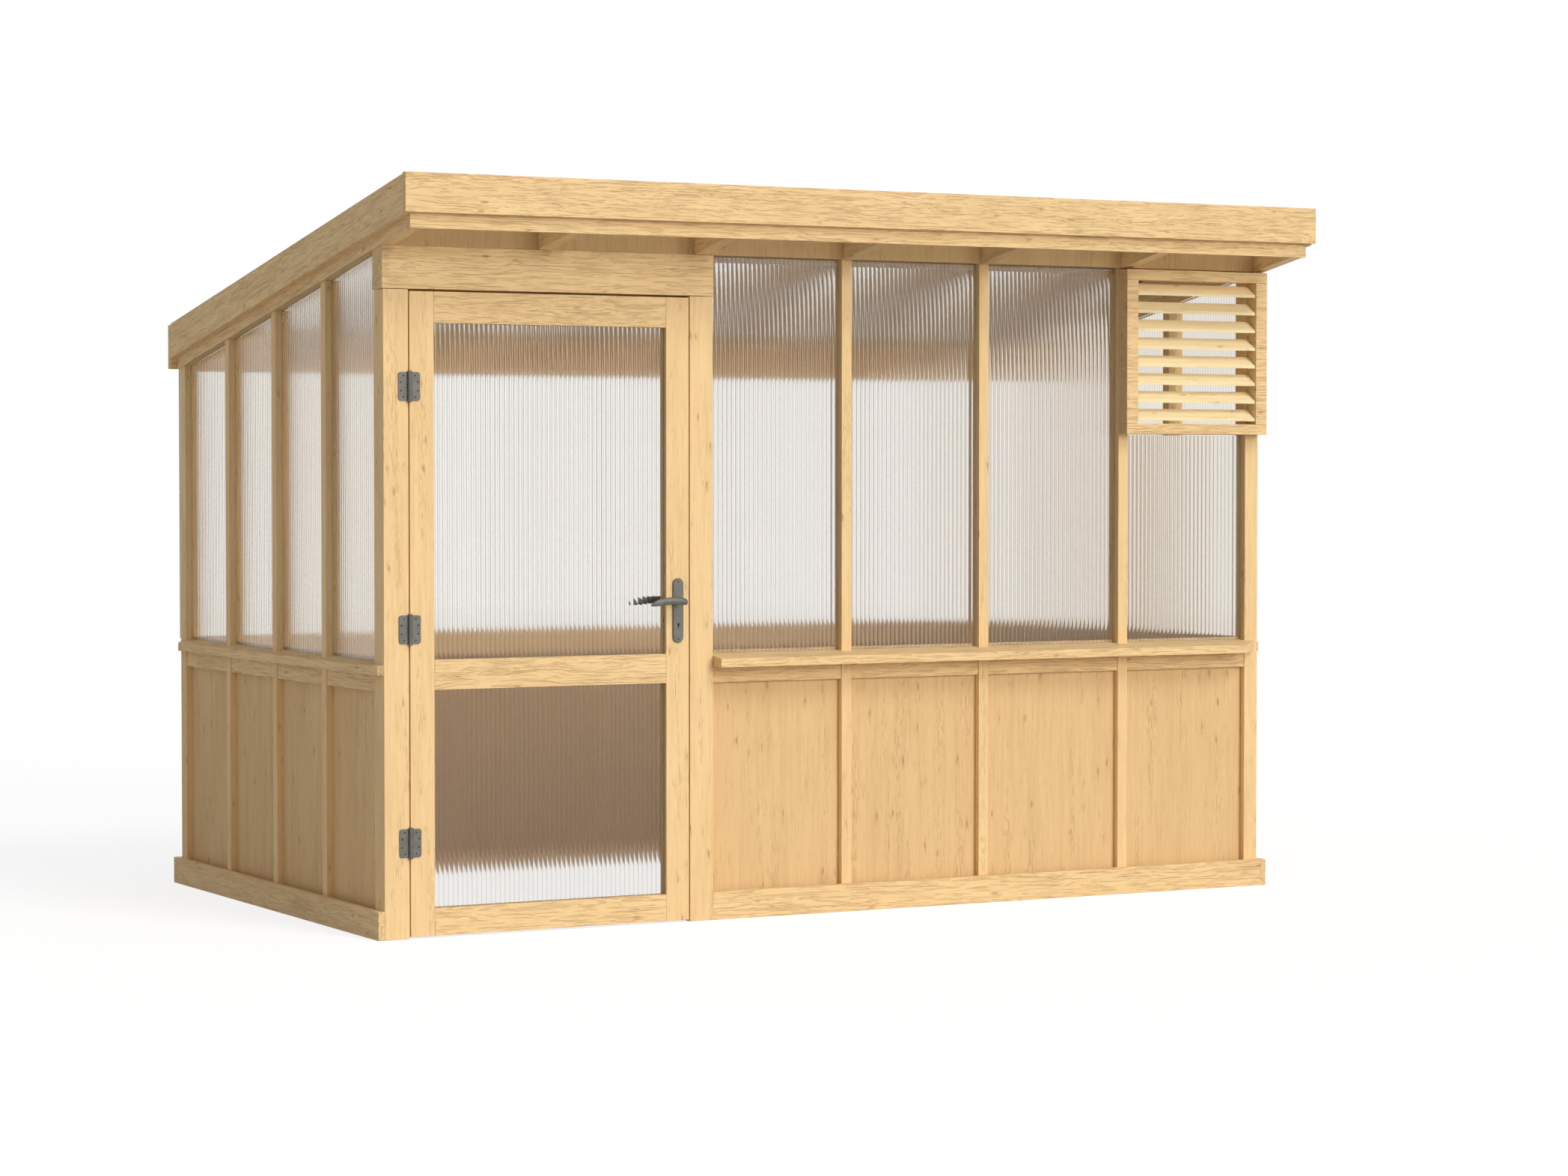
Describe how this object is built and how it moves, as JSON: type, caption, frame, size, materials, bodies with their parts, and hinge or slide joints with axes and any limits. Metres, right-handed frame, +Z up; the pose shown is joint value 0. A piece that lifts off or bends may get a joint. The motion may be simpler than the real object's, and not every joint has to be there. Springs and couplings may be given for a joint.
{
  "type": "lean-to greenhouse",
  "caption": "Timber lean-to greenhouse with a single-pitch roof, twin-wall glazing above boarded walls, a half-glazed hinged door with a lever lock, and a louvred vent.",
  "frame": {"origin": "middle of the bounding box on the ground, under the plinth", "axes": "+X along the front from the door end towards the louvre end, +Y from the front towards the back wall, +Z up"},
  "size_m": [3.3518, 2.1486, 2.3396],
  "materials": {
    "pine": "planed softwood, satin, fine horizontal or upright grain with small knots",
    "twin_wall_sheet": "clear fluted twin-wall sheet, glossy",
    "dark_metal": "matt dark grey",
    "lock_steel": "brushed"
  },
  "bodies": {
    "greenhouse": {"plinth_left": "pine", "plinth_right": "pine", "plinth_front": "pine", "plinth_back": "pine", "door_post_left": "pine", "door_post_right": "pine", "door_header": "pine", "front_wall_panel": "pine", "front_sill": "pine", "left_wall_panel": "pine", "left_sill": "pine", "right_wall_panel": "pine", "right_sill": "pine", "back_wall_panel": "pine", "rafter_1": "pine", "rafter_2": "pine", "rafter_3": "pine", "rafter_4": "pine", "rafter_5": "pine", "eaves_trim": "pine", "fascia_front": "pine", "fascia_back": "pine", "fascia_left": "pine", "fascia_right": "pine", "louvre": "pine", "front_pane_1": "twin_wall_sheet", "front_pane_2": "twin_wall_sheet", "front_pane_3": "twin_wall_sheet", "front_pane_4": "twin_wall_sheet", "left_pane_1": "twin_wall_sheet", "left_pane_2": "twin_wall_sheet", "left_pane_3": "twin_wall_sheet", "left_pane_4": "twin_wall_sheet", "right_pane_1": "twin_wall_sheet", "right_pane_2": "twin_wall_sheet", "right_pane_3": "twin_wall_sheet", "right_pane_4": "twin_wall_sheet", "back_sheet": "twin_wall_sheet", "roof_sheet": "twin_wall_sheet", "hinge_1_post_leaf": "dark_metal", "hinge_2_post_leaf": "dark_metal", "hinge_3_post_leaf": "dark_metal", "strike_plate": "lock_steel"},
    "door": {"door_hinge_stile": "pine", "door_lock_stile": "pine", "door_bottom_rail": "pine", "door_middle_rail": "pine", "door_top_rail": "pine", "door_lower_pane": "twin_wall_sheet", "door_upper_pane": "twin_wall_sheet", "hinge_1_door_leaf": "dark_metal", "hinge_2_door_leaf": "dark_metal", "hinge_3_door_leaf": "dark_metal", "lock_case": "lock_steel", "backplate_outside": "dark_metal", "backplate_inside": "dark_metal"},
    "handle": {"lever_outside": "dark_metal", "lever_inside": "dark_metal"},
    "latch": {"latch": "lock_steel"},
    "deadbolt": {"deadbolt": "lock_steel"}
  },
  "joints": [
    {"name": "door_hinge", "type": "hinge", "parent": "greenhouse", "child": "door", "pos_m": [-1.558, -0.8208, 0.956], "axis": [0, 0, -1], "range_deg": [0, 170]},
    {"name": "handle_turn", "type": "hinge", "parent": "door", "child": "handle", "pos_m": [-0.6345, -0.7935, 1.032], "axis": [0, -1, 0], "range_deg": [0, 40], "stiffness_Nm_per_rad": 0.8, "springref_deg": -20.05},
    {"name": "latch_slide", "type": "slide", "parent": "door", "child": "latch", "axis": [-1, 0, 0], "range_m": [0, 0.0122]},
    {"name": "deadbolt_slide", "type": "slide", "parent": "door", "child": "deadbolt", "axis": [1, 0, 0], "range_m": [0, 0.014]}
  ],
  "couplings": [
    {"joint": "latch_slide", "follows": "handle_turn", "m_per_rad": 0.017189}
  ]
}
